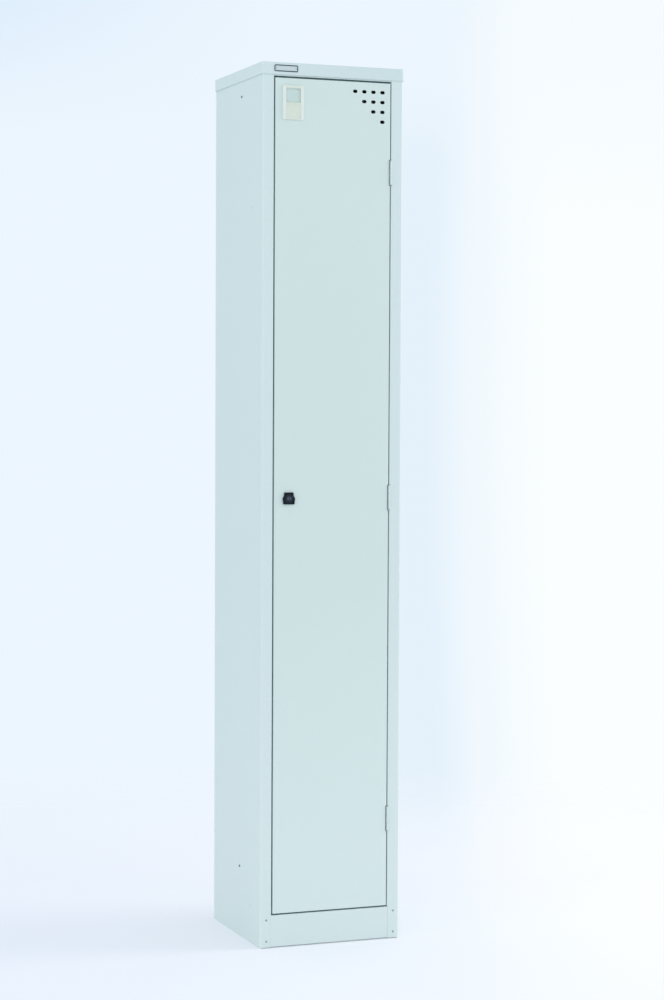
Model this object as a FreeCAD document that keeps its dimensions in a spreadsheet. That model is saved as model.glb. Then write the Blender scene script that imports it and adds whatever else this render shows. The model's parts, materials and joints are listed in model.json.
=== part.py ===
"""Single-door steel locker, 1800 x 305 x 305 mm, as a parametric FreeCAD document.

Frame: +Z up, the door faces -Y, +X is the hinge side. The origin is on the floor, at the
centre of the carcass. All lengths are in millimetres.
"""
import FreeCAD, Part
import math
import os

import Sketcher
from FreeCAD import Placement, Rotation, Vector

# ---------------------------------------------------------------- driving dimensions

SIZES = {
    # carcass
    "carcass_width": 305.0,
    "carcass_depth": 305.0,
    "overall_height": 1800.0,
    "sheet": 0.8,
    "corner_radius": 3.0,
    "bend_radius": 1.4,
    "lock_face": 24.0,
    "hinge_face": 25.5,
    "jamb_depth": 18.0,
    "jamb_lip": 8.0,
    "rear_flange": 16.0,
    "foot_flange": 14.0,
    "foot_relief": 1.5,
    "fit": 0.3,
    "hole_room": 0.1,
    "overlap": 1.0,
    # cap and rails
    "cap_sheet": 0.8,
    "cap_drop": 24.4,
    "cap_hem": 1.6,
    "head_drop": 26.9,
    "cap_clearance": 1.2,
    "rail_lip": 12.0,
    "plinth_height": 67.0,
    "plinth_lift": 2.0,
    "plinth_shelf": 32.0,
    "plinth_gap": 0.8,
    "plinth_lap": 12.0,
    # door
    "door_sheet": 0.9,
    "door_depth": 18.0,
    "door_lip": 10.0,
    "hinge_lip": 4.5,
    "door_bend": 1.2,
    "lock_gap": 3.0,
    "hinge_gap": 2.2,
    "top_gap": 3.6,
    "bottom_gap": 3.0,
    "vent_length": 10.0,
    "vent_height": 6.9,
    "vent_pitch": 20.0,
    "vent_margin": 17.8,
    "vent_drop": 19.4,
    "vent_rows": 4,
    "stiffener_width": 60.0,
    "stiffener_web": 32.0,
    "stiffener_depth": 12.0,
    "stiffener_inset": 60.0,
    # hinges
    "hinge_length": 50.0,
    "hinge_knuckles": 3,
    "hinge_inset": 182.0,
    "leaf_sheet": 1.0,
    "leaf_depth": 13.0,
    "knuckle_proud": 3.0,
    "knuckle_gap": 0.3,
    "notch_room": 2.8,
    "notch_end": 1.5,
    "pin_clearance": 0.05,
    "pin_proud": 0.5,
    # floor, shelf, rail and buffers
    "tray_flange": 22.0,
    "tray_corner": 4.0,
    "shelf_drop": 279.0,
    "shelf_flange": 20.0,
    "shelf_setback": 4.0,
    "rail_radius": 8.0,
    "rail_wall": 1.2,
    "rail_drop": 45.0,
    "bracket_inset": 42.5,
    "bracket_width": 30.0,
    "bracket_foot": 26.0,
    "bracket_sheet": 1.5,
    "bracket_tail": 6.0,
    "bracket_bend": 2.25,
    "rail_end": 6.0,
    "buffer_radius": 3.5,
    "buffer_room": 3.0,
    "buffer_inset": 25.0,
    "buffer_level": 4.2,
    # ganging holes
    "gang_radius": 3.5,
    "gang_setback": 130.0,
    "gang_low": 147.0,
    "gang_drop": 56.0,
    # lock
    "lock_offset": 58.2,
    "lock_height": 920.0,
    "lock_plate": 4.0,
    "plate_height": 24.4,
    "plate_top": 19.4,
    "plate_neck": 20.6,
    "plate_width": 26.0,
    "plate_foot": 23.6,
    "neck_rise": 5.0,
    "shoulder_rise": 0.5,
    "shoulder_drop": 1.5,
    "plate_corner": 1.5,
    "plate_edge": 0.8,
    "barrel_radius": 9.3,
    "plug_radius": 6.0,
    "plug_head": 8.6,
    "plug_recess": 1.5,
    "running_fit": 0.08,
    "keyway_length": 8.5,
    "keyway_width": 1.7,
    "keyway_depth": 6.0,
    "nut_flats": 24.0,
    "nut_height": 4.0,
    "cam_length": 40.0,
    "cam_width": 16.0,
    "cam_sheet": 2.0,
    "cam_clearance": 0.5,
    "cam_square": 8.0,
    "cam_heel": 7.0,
    "screw_radius": 1.9,
    "screw_head": 6.5,
    "screw_head_height": 2.7,
    "screw_length": 6.0,
    "screw_hole": 8.0,
    # label holder
    "label_width": 45.4,
    "label_height": 69.4,
    "label_depth": 2.4,
    "label_offset": 42.2,
    "label_drop": 14.4,
    "label_corner": 2.0,
    "label_chamfer": 0.5,
    "window_width": 30.4,
    "window_height": 28.0,
    "window_drop": 6.3,
    "slot_margin": 2.0,
    "panel_recess": 0.7,
    "panel_border": 3.2,
    "window_sheet": 0.7,
    "card_room": 0.1,
    "card_sheet": 0.4,
    "peg_radius": 2.5,
    "peg_height": 9.0,
    "peg_spacing": 18.0,
    "peg_length": 3.0,
}

SAME_PLACE = 1e-4  # mm: two points this near each other are one
LEAST_CUT = 1e-6  # mm3: a cut that takes away less has missed the body

doc = FreeCAD.newDocument("Locker")
dims = doc.addObject("Spreadsheet::Sheet", "Dims")
for row, (alias, number) in enumerate(SIZES.items(), start=1):
    dims.set(f"A{row}", alias)
    dims.set(f"B{row}", str(number))
    dims.setAlias(f"B{row}", alias)
doc.recompute()


class Size:
    """A length that carries its value now and the spreadsheet formula behind it."""

    def __init__(self, value, formula):
        self.value = value
        self.formula = formula

    def __add__(self, other):
        other = as_size(other)
        return Size(self.value + other.value, f"({self.formula} + {other.formula})")

    def __sub__(self, other):
        other = as_size(other)
        return Size(self.value - other.value, f"({self.formula} - {other.formula})")

    def __mul__(self, other):
        other = as_size(other)
        return Size(self.value * other.value, f"({self.formula} * {other.formula})")

    def __truediv__(self, other):
        other = as_size(other)
        return Size(self.value / other.value, f"({self.formula} / {other.formula})")

    def __neg__(self):
        return Size(-self.value, f"(0 - {self.formula})")

    def __radd__(self, other):
        return as_size(other) + self

    def __rsub__(self, other):
        return as_size(other) - self

    def __rmul__(self, other):
        return as_size(other) * self


def as_size(number):
    """Let plain numbers take part in formulas."""
    if isinstance(number, Size):
        return number
    return Size(float(number), f"({number})" if number < 0 else str(number))


class Dimensions:
    """Every spreadsheet alias as a Size attribute."""

    def __init__(self, table):
        for alias, number in table.items():
            setattr(self, alias, Size(float(number), f"Dims.{alias}"))


D = Dimensions(SIZES)

# ---------------------------------------------------------------- layout from the dimensions

sheet = D.sheet
half_w = D.carcass_width / 2
front = -D.carcass_depth / 2
back = D.carcass_depth / 2
carcass_top = D.overall_height - D.cap_sheet
cap_bottom = D.overall_height - D.cap_drop
head_bottom = D.overall_height - D.head_drop
behind_face = front + D.sheet
back_front = back - D.sheet * 2

left_jamb = D.lock_face - half_w
right_jamb = half_w - D.hinge_face
jamb_back = front + D.jamb_depth

door_left = left_jamb + D.lock_gap
door_right = right_jamb - D.hinge_gap
door_top = head_bottom - D.top_gap
door_bottom = D.plinth_height + D.bottom_gap
door_back = front + D.door_depth
door_inside = front + D.door_sheet
door_middle = (door_top + door_bottom) / 2
stop_face = door_back + D.buffer_room

knuckle_radius = (D.hinge_gap + D.sheet + D.leaf_sheet) / 2
hinge_x = door_right + knuckle_radius
hinge_y = front - D.knuckle_proud + knuckle_radius
leaf_front = front + D.bend_radius + D.fit
hinge_heights = {
    "bottom": door_bottom + D.hinge_inset,
    "middle": door_middle,
    "top": door_top - D.hinge_inset,
}

lock_x = D.lock_offset - half_w
cam_front = door_back + D.cam_clearance
shelf_height = D.overall_height - D.shelf_drop
rail_z = shelf_height - D.rail_drop

# ---------------------------------------------------------------- modelling helpers


def bind(feature, prop, size):
    """Drive one property of a feature from the spreadsheet."""
    size = as_size(size)
    feature.setExpression(prop, size.formula)


def new_body(label):
    body = doc.addObject("PartDesign::Body", label)
    body.Label = label
    return body


def sketch_on(body, role, name, offset=0.0):
    """A sketch on one of the body's own origin planes, moved along its normal by offset."""
    sketch = body.newObject("Sketcher::SketchObject", name)
    origin_plane = [f for f in body.Origin.OriginFeatures if f.Role == role][0]
    sketch.AttachmentSupport = (origin_plane, [""])
    sketch.MapMode = "FlatFace"
    offset = as_size(offset)
    sketch.AttachmentOffset = Placement(Vector(0, 0, offset.value), Rotation())
    bind(sketch, ".AttachmentOffset.Base.z", offset)
    return sketch


def fix(sketch, kind, geometry, vertex, size):
    """Give one vertex its distance from the sketch origin."""
    datum = Sketcher.Constraint(kind, -1, 1, geometry, vertex, size.value)
    index = sketch.addConstraint(datum)
    bind(sketch, f"Constraints[{index}]", size)


def fix_radius(sketch, geometry, size):
    index = sketch.addConstraint(Sketcher.Constraint("Radius", geometry, size.value))
    bind(sketch, f"Constraints[{index}]", size)


def outline(sketch, corners):
    """A closed straight-sided outline through (x, y) corners."""
    corners = [(as_size(x), as_size(y)) for x, y in corners]
    count = len(corners)
    first = sketch.GeometryCount
    points = [Vector(x.value, y.value, 0) for x, y in corners]
    for i in range(count):
        sketch.addGeometry(Part.LineSegment(points[i], points[(i + 1) % count]), False)
    for i in range(count):
        joint = Sketcher.Constraint("Coincident", first + i, 2, first + (i + 1) % count, 1)
        sketch.addConstraint(joint)
    for i, (x, y) in enumerate(corners):
        fix(sketch, "DistanceX", first + i, 1, x)
        fix(sketch, "DistanceY", first + i, 1, y)


def rectangle(sketch, x0, y0, x1, y1):
    outline(sketch, [(x0, y0), (x1, y0), (x1, y1), (x0, y1)])


def circle(sketch, x, y, radius):
    x, y, radius = as_size(x), as_size(y), as_size(radius)
    ring = Part.Circle(Vector(x.value, y.value, 0), Vector(0, 0, 1), radius.value)
    index = sketch.addGeometry(ring, False)
    fix(sketch, "DistanceX", index, 3, x)
    fix(sketch, "DistanceY", index, 3, y)
    fix_radius(sketch, index, radius)


def slot(sketch, x, y, length, height):
    """A round-ended slot, level, centred on (x, y)."""
    radius = height / 2
    reach = (length - height) / 2
    ends = []
    for side, start in ((1, -math.pi / 2), (-1, math.pi / 2)):
        centre = Vector((x + side * reach).value, y.value, 0)
        arc = Part.ArcOfCircle(
            Part.Circle(centre, Vector(0, 0, 1), radius.value), start, start + math.pi
        )
        index = sketch.addGeometry(arc, False)
        fix(sketch, "DistanceX", index, 3, x + side * reach)
        fix(sketch, "DistanceY", index, 3, y)
        ends.append(index)
    right, left = ends
    fix_radius(sketch, right, radius)
    sketch.addConstraint(Sketcher.Constraint("Equal", right, left))
    for level, first_arc, last_arc in ((1, right, left), (-1, left, right)):
        height_now = y.value + level * radius.value
        start = Vector((x + level * reach).value, height_now, 0)
        end = Vector((x - level * reach).value, height_now, 0)
        line = sketch.addGeometry(Part.LineSegment(start, end), False)
        sketch.addConstraint(Sketcher.Constraint("Tangent", first_arc, 2, line, 1))
        sketch.addConstraint(Sketcher.Constraint("Tangent", line, 2, last_arc, 1))


def pad(body, sketch, length, name, reverse=False):
    feature = body.newObject("PartDesign::Pad", name)
    feature.Profile = sketch
    feature.Reversed = reverse
    bind(feature, "Length", length)
    doc.recompute()
    return feature


def pocket(body, sketch, depth, name, reverse=False):
    """A cut that has to take material away, or the build stops."""
    before = body.Shape.Volume
    feature = body.newObject("PartDesign::Pocket", name)
    feature.Profile = sketch
    feature.Reversed = reverse
    bind(feature, "Length", depth)
    doc.recompute()
    if feature.Shape.Volume > before - LEAST_CUT:
        raise RuntimeError(f"{body.Label}: {name} cut nothing")
    return feature


def edges_where(shape, test):
    """Names of the edges whose two end points pass the test."""
    names = []
    for number, edge in enumerate(shape.Edges, start=1):
        ends = [v.Point for v in edge.Vertexes]
        if len(ends) == 2 and test(ends[0], ends[1]):
            names.append(f"Edge{number}")
    return names


def near(a, b):
    return abs(a - b) < SAME_PLACE


def dress(body, kind, prop, size, name, test):
    """A fillet or chamfer on the tip's edges that pass the test."""
    base = body.Tip
    chosen = edges_where(base.Shape, test)
    if not chosen:
        raise RuntimeError(f"{body.Label}: {name} found no edge")
    feature = body.newObject(kind, name)
    feature.Base = (base, chosen)
    bind(feature, prop, size)
    doc.recompute()
    return feature


def fillet(body, radius, name, test):
    return dress(body, "PartDesign::Fillet", "Radius", radius, name, test)


def chamfer(body, size, name, test):
    return dress(body, "PartDesign::Chamfer", "Size", size, name, test)


def along(axis, places):
    """Test for edges that run along an axis through one of the given (a, b) places."""
    first, second = [c for c in ("x", "y", "z") if c != axis]
    spots = [(as_size(a).value, as_size(b).value) for a, b in places]

    def test(p, q):
        if not near(getattr(p, first), getattr(q, first)):
            return False
        if not near(getattr(p, second), getattr(q, second)):
            return False
        here = (getattr(p, first), getattr(p, second))
        return any(near(here[0], a) and near(here[1], b) for a, b in spots)

    return test


def hollow(body, wall, name, test):
    """Shell the body inwards, open at the faces that pass the test."""
    base = body.Tip
    faces = [f"Face{n}" for n, f in enumerate(base.Shape.Faces, start=1) if test(f)]
    feature = body.newObject("PartDesign::Thickness", name)
    feature.Base = (base, faces)
    feature.Mode = 0
    feature.Join = 0
    feature.Reversed = True
    bind(feature, "Value", wall)
    doc.recompute()
    return feature


def faces_at_height(level):
    """Test for level faces at one height."""
    return lambda face: near(face.BoundBox.ZMin, level) and near(face.BoundBox.ZMax, level)


def solid_group(label, solids):
    """Identical small pieces that share one node, as separate solids."""
    group = doc.addObject("Part::Feature", label)
    group.Label = label
    group.Shape = Part.makeCompound(solids)
    group.Placement = Placement()
    return group


# ---------------------------------------------------------------- carcass


def side_panel(label, hand, face):
    """A side sheet folded into an upright in front and a flange behind.

    hand is -1 for the left panel and 1 for the right one.
    """
    depth = D.carcass_depth
    lip = D.jamb_lip

    def across(inset):
        return hand * (half_w - inset)

    body = new_body(label)
    profile = sketch_on(body, "XY_Plane", "Profile")
    fold = [
        (0, 0), (face, 0), (face, D.jamb_depth), (face - lip, D.jamb_depth),
        (face - lip, D.jamb_depth - sheet), (face - sheet, D.jamb_depth - sheet),
        (face - sheet, sheet), (sheet, sheet),
        (sheet, depth - sheet), (D.rear_flange, depth - sheet), (D.rear_flange, depth), (0, depth),
    ]
    outline(profile, [(across(u), front + v) for u, v in fold])
    pad(body, profile, carcass_top, "Fold")

    corners = ((0, 0), (0, depth))
    inner_corners = ((sheet, sheet), (sheet, depth - sheet))
    bends = ((face, 0), (face, D.jamb_depth))
    inner_bends = ((face - sheet, sheet), (face - sheet, D.jamb_depth - sheet))
    for name, places, radius in (
        ("CornerOutside", corners, D.corner_radius),
        ("CornerInside", inner_corners, D.corner_radius - sheet),
        ("JambOutside", bends, D.bend_radius),
        ("JambInside", inner_bends, D.bend_radius - sheet),
    ):
        fillet(body, radius, name, along("z", [(across(u), front + v) for u, v in places]))

    foot = sketch_on(body, "XY_Plane", "Foot")
    rectangle(foot, across(0), jamb_back + D.fit, across(D.foot_flange), back - D.rear_flange)
    pad(body, foot, sheet, "FootFlange")

    # The jamb return stops clear of the plinth below and of the head rail above. Beside the
    # plinth the upright loses its bend as well, and at the floor its front edge is eased.
    past = D.overlap
    beyond = (across(face + past), jamb_back + past)
    returns = (across(face - lip - past), behind_face, *beyond)
    bend_edge = (across(face - D.bend_radius), front - past, *beyond)
    front_edge = (across(D.corner_radius), front - past, *beyond)
    for name, region, height in (
        ("PlinthRelief", returns, D.plinth_height + D.fit),
        ("PlinthEdge", bend_edge, D.plinth_height + D.fit),
        ("FootRelief", front_edge, D.foot_relief),
    ):
        low = sketch_on(body, "XY_Plane", f"{name}Plan")
        rectangle(low, *region)
        pocket(body, low, height, name, reverse=True)
    high = sketch_on(body, "XY_Plane", "HighRelief", carcass_top)
    rectangle(high, *returns)
    pocket(body, high, carcass_top - head_bottom + D.fit, "HeadRelief")

    outer = sketch_on(body, "YZ_Plane", "GangHoles", across(0))
    for height in (D.gang_low, D.overall_height - D.gang_drop):
        circle(outer, front + D.gang_setback, height, D.gang_radius)
    pocket(body, outer, sheet, "GangHolePair", reverse=hand < 0)

    return body


left_side = side_panel("left_side", -1, D.lock_face)
right_side = side_panel("right_side", 1, D.hinge_face)

# The hinge upright is cut away round each knuckle.
hinge_cuts = sketch_on(right_side, "XZ_Plane", "HingeCuts", -front)
for centre in hinge_heights.values():
    reach = D.hinge_length / 2 + D.notch_end
    rectangle(
        hinge_cuts, right_jamb - D.overlap, centre - reach,
        hinge_x + knuckle_radius + D.fit, centre + reach,
    )
pocket(right_side, hinge_cuts, leaf_front - front, "HingeNotches")

back_panel = new_body("back_panel")
back_sheet = sketch_on(back_panel, "XZ_Plane", "Sheet", -back_front)
panel_edge = half_w - D.corner_radius - D.fit
rectangle(back_sheet, -panel_edge, D.fit, panel_edge, carcass_top)
pad(back_panel, back_sheet, D.sheet, "Panel", reverse=True)

# The cap drops over the carcass with a small clearance all round.
top_cap = new_body("top_cap")
cap_edge = D.cap_clearance + D.cap_sheet
lid = sketch_on(top_cap, "XY_Plane", "Lid", cap_bottom)
rectangle(lid, -half_w - cap_edge, front - cap_edge, half_w + cap_edge, back + cap_edge)
pad(top_cap, lid, D.cap_drop, "Block")
cap_corners = [(x * (half_w + cap_edge), y * (back + cap_edge)) for x in (-1, 1) for y in (-1, 1)]
fillet(top_cap, D.corner_radius + cap_edge, "Corners", along("z", cap_corners))
hollow(top_cap, D.cap_sheet, "Pan", faces_at_height(cap_bottom.value))
top_level = D.overall_height.value
chamfer(
    top_cap, D.cap_sheet, "TopEdge",
    lambda p, q: near(p.z, top_level) and near(q.z, top_level),
)

# Its rim is hemmed between the corners, which nearly closes the clearance from below.
rim = sketch_on(top_cap, "XY_Plane", "Rim", cap_bottom)
hem_edge = D.cap_clearance + D.cap_sheet / 2
hem_x, hem_y = half_w - D.corner_radius, back - D.corner_radius
for hand in (-1, 1):
    rectangle(rim, hand * (half_w + D.fit), -hem_y, hand * (half_w + hem_edge), hem_y)
    rectangle(rim, -hem_x, hand * (back + D.fit), hem_x, hand * (back + hem_edge))
pad(top_cap, rim, D.cap_hem, "Hem")


rail_edge = half_w - D.corner_radius - D.fit


def rail(label, left, right, fold, bends, inner_bends):
    """A front rail: a folded (y, z) profile that runs from left to right."""
    body = new_body(label)
    profile = sketch_on(body, "YZ_Plane", "Profile", left)
    outline(profile, fold)
    pad(body, profile, right - left, "Fold")
    fillet(body, D.bend_radius, "BendOutside", along("x", bends))
    fillet(body, D.bend_radius - D.sheet, "BendInside", along("x", inner_bends))
    return body


lip_end = head_bottom - D.rail_lip
head_rail = rail(
    "head_rail", -rail_edge, rail_edge,
    [
        (behind_face, head_bottom), (stop_face, head_bottom), (stop_face, lip_end),
        (stop_face + sheet, lip_end), (stop_face + sheet, head_bottom + sheet),
        (behind_face + sheet, head_bottom + sheet), (behind_face + sheet, carcass_top - D.fit),
        (behind_face, carcass_top - D.fit),
    ],
    [(behind_face, head_bottom), (stop_face + sheet, head_bottom + sheet)],
    [(behind_face + sheet, head_bottom + sheet), (stop_face, head_bottom)],
)

# The plinth's face is flush with the uprights, and a tab at each end laps behind them.
shelf_end = front + D.plinth_shelf
under = D.plinth_height - sheet
plinth_left = left_jamb - D.bend_radius + D.fit
plinth_right = right_jamb + D.bend_radius - D.plinth_gap
plinth_foot = front + D.rail_lip
plinth = rail(
    "plinth", plinth_left, plinth_right,
    [
        (front, D.plinth_lift), (plinth_foot, D.plinth_lift),
        (plinth_foot, D.plinth_lift + sheet), (behind_face, D.plinth_lift + sheet),
        (behind_face, under), (shelf_end - sheet, under), (shelf_end - sheet, under - D.rail_lip),
        (shelf_end, under - D.rail_lip), (shelf_end, D.plinth_height),
        (front, D.plinth_height),
    ],
    [(front, D.plinth_lift), (front, D.plinth_height), (shelf_end, D.plinth_height)],
    [(behind_face, D.plinth_lift + sheet), (behind_face, under), (shelf_end - sheet, under)],
)
tab_low = D.plinth_lift + sheet * 2
tab_high = under - sheet
for name, start, end in (
    ("LeftTab", -rail_edge, plinth_left + D.plinth_lap),
    ("RightTab", plinth_right - D.plinth_lap, rail_edge),
):
    tab = sketch_on(plinth, "XZ_Plane", name, -behind_face)
    rectangle(tab, start, tab_low, end, tab_high)
    pad(plinth, tab, sheet, f"{name}Lap", reverse=True)


def tray(label, level, up, side_rise, y_front, front_rise):
    """A folded tray between the side sheets, its corners notched as folded sheet is.

    level is the sheet's outer face, and up is 1 for upturned flanges and -1 for downturned.
    """
    body = new_body(label)
    edge = half_w - sheet
    notch = D.tray_corner
    y_rear = back_front - notch
    rim = level + up * side_rise
    inside = level + up * sheet
    section = sketch_on(body, "XZ_Plane", "Section", -y_rear)
    outline(section, [
        (-edge, rim), (-edge, level), (edge, level), (edge, rim),
        (edge - sheet, rim), (edge - sheet, inside), (sheet - edge, inside), (sheet - edge, rim),
    ])
    pad(body, section, y_rear - y_front - notch, "Channel")
    bends = [(-edge, level), (edge, level)]
    inner_bends = [(sheet - edge, inside), (edge - sheet, inside)]
    fillet(body, D.bend_radius, "SideBends", along("y", bends))
    fillet(body, D.bend_radius - sheet, "SideBendsInside", along("y", inner_bends))
    folds = (
        ("Front", y_front, 1, front_rise),
        ("Rear", back_front, -1, side_rise),
    )
    for name, y_end, inwards, rise in folds:
        y_root = y_end + inwards * (notch + D.overlap)
        tip = level + up * rise
        fold = sketch_on(body, "YZ_Plane", name, notch - edge)
        outline(fold, [
            (y_root, level), (y_end, level), (y_end, tip), (y_end + inwards * sheet, tip),
            (y_end + inwards * sheet, inside), (y_root, inside),
        ])
        pad(body, fold, (edge - notch) * 2, f"{name}Flange")
        fillet(body, D.bend_radius, f"{name}Bend", along("x", [(y_end, level)]))
    return body


floor_panel = tray("floor_panel", D.plinth_height, 1, D.tray_flange, stop_face, D.rail_lip)
shelf_front = door_back + D.shelf_setback
hat_shelf = tray("hat_shelf", shelf_height, -1, D.shelf_flange, shelf_front, D.shelf_flange)

# ---------------------------------------------------------------- coat rail under the shelf


def rail_bracket(label, hand):
    """An angle bracket under the shelf, with the rail through its upright leg."""
    leg = D.bracket_sheet
    body = new_body(label)
    x = hand * (half_w - D.bracket_inset)
    seat = shelf_height - sheet
    profile = sketch_on(body, "XZ_Plane", "Profile", -D.bracket_width / 2)
    foot = x - hand * D.bracket_foot
    low = rail_z - D.rail_radius - D.bracket_tail
    outline(profile, [
        (x, seat), (foot, seat), (foot, seat - leg), (x - hand * leg, seat - leg),
        (x - hand * leg, low), (x, low),
    ])
    pad(body, profile, D.bracket_width, "Fold")
    fillet(body, D.bracket_bend, "BendOutside", along("y", [(x, seat)]))
    fillet(body, D.bracket_bend - leg, "BendInside", along("y", [(x - hand * leg, seat - leg)]))
    hole = sketch_on(body, "YZ_Plane", "RailHole", x)
    circle(hole, 0, rail_z, D.rail_radius + D.running_fit)
    pocket(body, hole, leg, "RailHole", reverse=hand < 0)
    return body


rail_bracket("rail_bracket_left", -1)
rail_bracket("rail_bracket_right", 1)

coat_rail = new_body("coat_rail")
rail_half = half_w - D.bracket_inset + D.rail_end
tube = sketch_on(coat_rail, "YZ_Plane", "Section", -rail_half)
circle(tube, 0, rail_z, D.rail_radius)
circle(tube, 0, rail_z, D.rail_radius - D.rail_wall)
pad(coat_rail, tube, rail_half * 2, "Tube")

# ---------------------------------------------------------------- door

door_panel = new_body("door_panel")
door_face = sketch_on(door_panel, "XZ_Plane", "Face", -door_back)
rectangle(door_face, door_left, door_bottom, door_right, door_top)
pad(door_panel, door_face, D.door_depth, "Block")
front_y = front.value
fillet(
    door_panel, D.door_bend, "FaceBends",
    lambda p, q: near(p.y, front_y) and near(q.y, front_y),
)
skin = D.door_sheet
cavity = sketch_on(door_panel, "XZ_Plane", "Cavity", -(door_back - skin))
rectangle(cavity, door_left + skin, door_bottom + skin, door_right - skin, door_top - skin)
mouth = sketch_on(door_panel, "XZ_Plane", "Mouth", -door_back)
door_lip = D.door_lip
rectangle(
    mouth, door_left + door_lip, door_bottom + door_lip,
    door_right - D.hinge_lip, door_top - door_lip,
)
pocket(door_panel, mouth, skin, "BackOpening", reverse=True)
pocket(door_panel, cavity, D.door_depth - skin * 2, "Inside", reverse=True)

notches = sketch_on(door_panel, "XZ_Plane", "HingeCuts", -front)
for centre in hinge_heights.values():
    reach = D.hinge_length / 2 + D.notch_end
    rectangle(notches, door_right - D.notch_room, centre - reach, door_right + D.overlap, centre + reach)
pocket(door_panel, notches, leaf_front - front, "HingeNotches")

vents = sketch_on(door_panel, "XZ_Plane", "Vents", -front)
vent_rows = SIZES["vent_rows"]
for row in range(vent_rows):
    for column in range(vent_rows - row):
        slot(
            vents,
            door_right - D.vent_margin - D.vent_pitch * column,
            door_top - D.vent_drop - D.vent_pitch * row,
            D.vent_length, D.vent_height,
        )
pocket(door_panel, vents, skin, "VentSlots")

lock_hole = sketch_on(door_panel, "XZ_Plane", "LockHole", -front)
circle(lock_hole, lock_x, D.lock_height, D.barrel_radius + D.hole_room)
pocket(door_panel, lock_hole, skin, "LockHole")

label_left = D.label_offset - half_w
label_x = label_left + D.label_width / 2
label_top = door_top - D.label_drop
label_bottom = label_top - D.label_height
peg_levels = [label_bottom + D.peg_height + D.peg_spacing * i for i in range(2)]
peg_holes = sketch_on(door_panel, "XZ_Plane", "PegHoles", -front)
for level in peg_levels:
    circle(peg_holes, label_x, level, D.peg_radius + D.hole_room)
pocket(door_panel, peg_holes, skin, "PegHoles")

door_stiffener = new_body("door_stiffener")
middle = (door_left + door_right) / 2
hat = sketch_on(door_stiffener, "XY_Plane", "Section", door_bottom + D.stiffener_inset)
rim = D.stiffener_width / 2
web = D.stiffener_web / 2
crown = door_inside + D.stiffener_depth
outline(hat, [
    (middle - rim, door_inside), (middle - web + sheet, door_inside),
    (middle - web + sheet, crown - sheet), (middle + web - sheet, crown - sheet),
    (middle + web - sheet, door_inside), (middle + rim, door_inside),
    (middle + rim, door_inside + sheet), (middle + web, door_inside + sheet),
    (middle + web, crown), (middle - web, crown),
    (middle - web, door_inside + sheet), (middle - rim, door_inside + sheet),
])
pad(door_stiffener, hat, door_top - door_bottom - D.stiffener_inset * 2, "Channel")
fillet(
    door_stiffener, D.bend_radius, "CrownBends",
    along("z", [(middle - web, crown), (middle + web, crown)]),
)

# ---------------------------------------------------------------- hinges


def hinge_leaf(label, centre, hand, first, count):
    """A leaf with rolled knuckles: hand 1 is the frame leaf, -1 the door leaf."""
    pitch = D.hinge_length / D.hinge_knuckles
    low = centre - D.hinge_length / 2
    outer = hinge_x + hand * knuckle_radius
    inner = outer - hand * D.leaf_sheet
    body = new_body(label)
    plate = sketch_on(body, "XY_Plane", "Plate", low)
    rectangle(plate, inner, leaf_front, outer, leaf_front + D.leaf_depth)
    pad(body, plate, D.hinge_length, "Leaf")
    knuckle_low = low + pitch * first + D.knuckle_gap / 2
    tongue = sketch_on(body, "XY_Plane", "Tongue", knuckle_low)
    rectangle(tongue, inner, hinge_y, outer, leaf_front)
    tongue_pad = pad(body, tongue, pitch - D.knuckle_gap, "Tongue")
    roll = sketch_on(body, "XY_Plane", "Roll", knuckle_low)
    circle(roll, hinge_x, hinge_y, knuckle_radius)
    roll_pad = pad(body, roll, pitch - D.knuckle_gap, "Roll")
    if count > 1:
        row = body.newObject("PartDesign::LinearPattern", "Knuckles")
        row.Originals = [tongue_pad, roll_pad]
        row.Direction = (plate, ["N_Axis"])
        bind(row, "Length", pitch * 2 * (count - 1))
        row.Occurrences = count
        body.Tip = row
        doc.recompute()
    bore = sketch_on(body, "XY_Plane", "Bore", low)
    circle(bore, hinge_x, hinge_y, knuckle_radius - D.leaf_sheet)
    pocket(body, bore, D.hinge_length, "PinBore", reverse=True)
    return body


def hinge_pin(label, centre):
    """A plain pin with its ends just proud of the knuckles."""
    body = new_body(label)
    length = D.hinge_length + D.pin_proud * 2
    section = sketch_on(body, "XY_Plane", "Section", centre - length / 2)
    circle(section, hinge_x, hinge_y, knuckle_radius - D.leaf_sheet - D.pin_clearance)
    pad(body, section, length, "Pin")
    return body


knuckles = SIZES["hinge_knuckles"]
for place, centre in hinge_heights.items():
    hinge_leaf(f"hinge_{place}_frame_leaf", centre, 1, 0, (knuckles + 1) // 2)
    hinge_leaf(f"hinge_{place}_door_leaf", centre, -1, 1, knuckles // 2)
    hinge_pin(f"hinge_{place}_pin", centre)

# ---------------------------------------------------------------- lock

plate_front = front - D.lock_plate
lock_housing = new_body("lock_housing")
plate = sketch_on(lock_housing, "XZ_Plane", "Plate", -front)
crest = D.lock_height + D.plate_height / 2
sole = D.lock_height - D.plate_height / 2
shield = [
    (D.plate_top, crest),
    (D.plate_neck, D.lock_height + D.neck_rise),
    (D.plate_width, D.lock_height + D.shoulder_rise),
    (D.plate_width, D.lock_height - D.shoulder_drop),
    (D.plate_foot, sole),
]
left_edge = [(lock_x - width / 2, level) for width, level in shield]
right_edge = [(lock_x + width / 2, level) for width, level in reversed(shield)]
outline(plate, left_edge + right_edge)
pad(lock_housing, plate, D.lock_plate, "Plate")
plate_corners = [(x, z) for x, z in left_edge + right_edge if z in (crest, sole)]
fillet(lock_housing, D.plate_corner, "PlateCorners", along("y", plate_corners))
face_y = plate_front.value
chamfer(
    lock_housing, D.plate_edge, "PlateEdge",
    lambda p, q: near(p.y, face_y) and near(q.y, face_y),
)
barrel = sketch_on(lock_housing, "XZ_Plane", "Barrel", -front)
circle(barrel, lock_x, D.lock_height, D.barrel_radius)
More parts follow.
